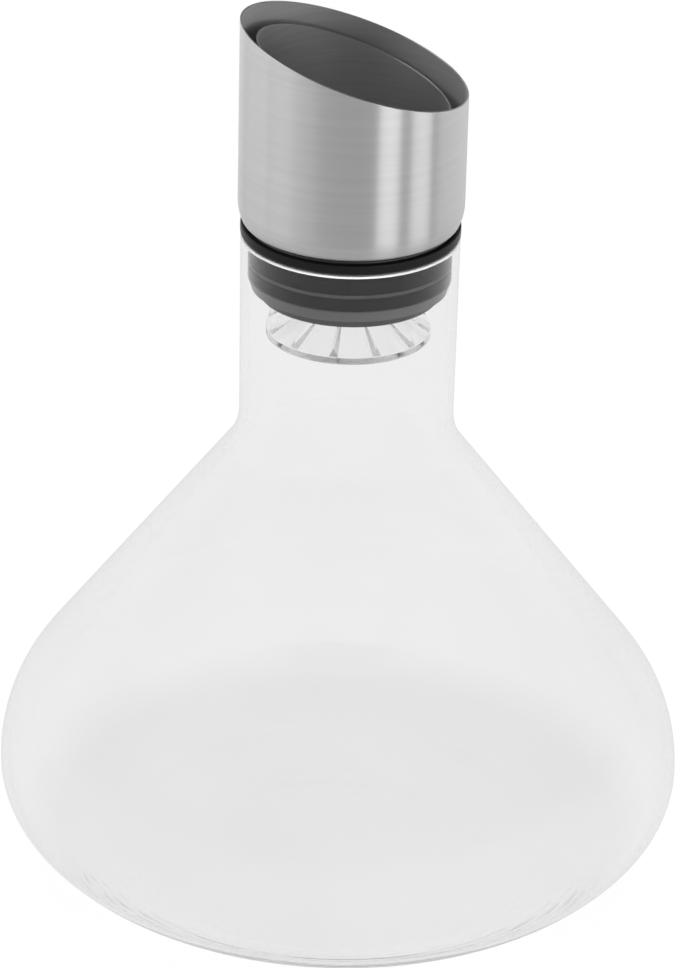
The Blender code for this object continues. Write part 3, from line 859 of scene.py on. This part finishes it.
def make_floor():
    """A wide sheet that shows white to the eye, in metal and through glass, and keeps a soft shadow."""
    bm = bmesh.new()
    bmesh.ops.create_grid(bm, x_segments=FLOOR_SQUARES, y_segments=FLOOR_SQUARES, size=FLOOR_SIZE_M / 2)
    mesh = bpy.data.meshes.new("studio_floor")
    bm.to_mesh(mesh)
    bm.free()
    floor = bpy.data.objects.new("studio_floor", mesh)
    floor.location.z = (FOOT - FLOOR_GAP) * MM
    bpy.context.scene.collection.objects.link(floor)
    made, tree, shader = principled("floor_white", Roughness=FLOOR_ROUGHNESS, Base_Color=grey(FLOOR_GREY))
    glow = tree.nodes.new("ShaderNodeEmission")
    tree.links.new(white_strength(tree), glow.inputs["Strength"])
    seen = seen_by(tree, "Is Camera Ray", "Is Glossy Ray", "Is Transmission Ray")
    share = spread(tree, seen, 0.0, FLOOR_GLOW, low=0.0, high=1.0)
    show_mix(tree, share, shader.outputs["BSDF"], glow.outputs["Emission"], "Material Output")
    mesh.materials.append(made)
    return floor


def make_world():
    """White to the eye and through glass. Reflections show a white backdrop under a dark ceiling."""
    world = bpy.data.worlds.new("studio")
    world.use_nodes = True
    tree = world.node_tree
    where = tree.nodes.new("ShaderNodeTexCoord")
    parts = tree.nodes.new("ShaderNodeSeparateXYZ")
    tree.links.new(where.outputs["Generated"], parts.inputs["Vector"])
    height = parts.outputs["Z"]
    room = tree.nodes["Background"]
    shade = ramp(tree, height, BACKDROP_LIGHT, CEILING_LIGHT, BACKDROP_FULL, BACKDROP_END)
    tree.links.new(shade, room.inputs["Color"])
    white = tree.nodes.new("ShaderNodeBackground")
    white.inputs["Color"].default_value = grey(1.0)
    tree.links.new(white_strength(tree), white.inputs["Strength"])
    backdrop = spread(tree, height, 1.0, 0.0, BACKDROP_FULL, BACKDROP_END)
    in_metal = arithmetic(tree, "MULTIPLY", seen_by(tree, "Is Glossy Ray"), backdrop)
    seen = seen_by(tree, "Is Camera Ray", "Is Transmission Ray")
    share = arithmetic(tree, "MAXIMUM", seen, in_metal)
    show_mix(tree, share, room.outputs["Background"], white.outputs["Background"], "World Output")
    bpy.context.scene.world = world


# Lamps, with lengths in metres and azimuths from the front to the right

LIGHT_TARGET = Vector((0.0, 0.0, 0.22))
POWER_FACTOR = 4.0           # watts of an area lamp for each square metre and unit of radiance
SIDE_REACH = 1.0
LEFT_ELEVATION = 16
LEFT_HEIGHT = 0.9
LEFT_LAMPS = (               # name, azimuth, width, radiance
    ("left_softbox_back", -150, 0.7, 0.80),
    ("left_softbox_side", -110, 0.7, 0.80),
    ("left_softbox_front", -75, 0.5, 0.56),
    ("left_softbox_fade", -48, 0.4, 0.22),
)
RIGHT_ELEVATION = -3
RIGHT_HEIGHT = 0.32
RIGHT_LAMPS = (              # the same
    ("right_strip_front", 33, 0.37, 2.8),
    ("right_strip_side", 67, 0.39, 2.15),
    ("right_softbox_back", 118, 1.2, 0.92),
)


def softbox(name, lit, azimuth, elevation, distance, size, radiance, mirrored=True):
    """A soft lamp that is turned to the pourer and lights the given pieces only."""
    width, height = size
    turn = math.radians(azimuth)
    lift = math.radians(elevation)
    way = Vector((math.sin(turn) * math.cos(lift), -math.cos(turn) * math.cos(lift), math.sin(lift)))
    data = bpy.data.lights.new(name, "AREA")
    data.shape = "RECTANGLE"
    data.size, data.size_y = width, height
    data.energy = POWER_FACTOR * width * height * radiance
    lamp = bpy.data.objects.new(name, data)
    lamp.location = LIGHT_TARGET + way * distance
    lamp.rotation_euler = (-way).to_track_quat("-Z", "Y").to_euler()
    lamp.visible_camera = False
    lamp.visible_transmission = False
    lamp.visible_glossy = mirrored
    bpy.context.scene.collection.objects.link(lamp)
    group = bpy.data.collections.new(f"lit_by_{name}")
    for piece in lit:
        group.objects.link(piece)
    lamp.light_linking.receiver_collection = group


def make_lights(floor, glass, collar, funnel, moulded):
    """Lamps for the floor's shadow, the rim's painted highlight, the pourer's two sides and its mouth."""
    softbox(
        "top_softbox", [floor], azimuth=0, elevation=80, distance=2.2, size=(2.4, 2.4), radiance=4.4,
    )
    softbox(
        "rim_softbox", [glass], azimuth=0, elevation=66, distance=1.1, size=(1.4, 0.35), radiance=12.0,
        mirrored=False,
    )
    outside = [collar] + moulded
    pourer = outside + [funnel]
    for name, azimuth, width, radiance in LEFT_LAMPS:
        softbox(name, pourer, azimuth, LEFT_ELEVATION, SIDE_REACH, (width, LEFT_HEIGHT), radiance)
    for name, azimuth, width, radiance in RIGHT_LAMPS:
        softbox(name, outside, azimuth, RIGHT_ELEVATION, SIDE_REACH, (width, RIGHT_HEIGHT), radiance)
    softbox(
        "mouth_softbox", [collar, funnel], azimuth=-82, elevation=52, distance=1.1, size=(1.0, 1.0),
        radiance=1.2,
    )


def make_camera():
    """The photograph's view: aimed down at the axis, turned a little round it, with a slight roll."""
    data = bpy.data.cameras.new("camera")
    data.lens = CAMERA_LENS
    data.sensor_width = CAMERA_SENSOR
    camera = bpy.data.objects.new("camera", data)
    stand = Matrix.Rotation(math.radians(CAMERA_TURN), 4, "Z")
    spot = Matrix.Translation((0.0, -CAMERA_REACH * MM, CAMERA_HEIGHT * MM))
    aim = Matrix.Rotation(math.radians(90 - CAMERA_PITCH), 4, "X")
    yaw = Matrix.Rotation(math.radians(-CAMERA_YAW), 4, "Y")
    roll = Matrix.Rotation(math.radians(CAMERA_ROLL), 4, "Z")
    camera.matrix_world = stand @ spot @ aim @ yaw @ roll
    bpy.context.scene.collection.objects.link(camera)
    bpy.context.scene.camera = camera


BOUNCES = 128                # enough for light that runs inside the glass wall


def set_view():
    """Standard colours, and paths that are long enough for the glass."""
    scene = bpy.context.scene
    scene.cycles.max_bounces = BOUNCES
    scene.cycles.glossy_bounces = BOUNCES
    scene.cycles.transmission_bounces = BOUNCES
    scene.view_settings.view_transform = "Standard"


glass, collar, funnel, moulded = make_pieces()
make_world()
floor = make_floor()
make_lights(floor, glass, collar, funnel, moulded)
make_camera()
set_view()
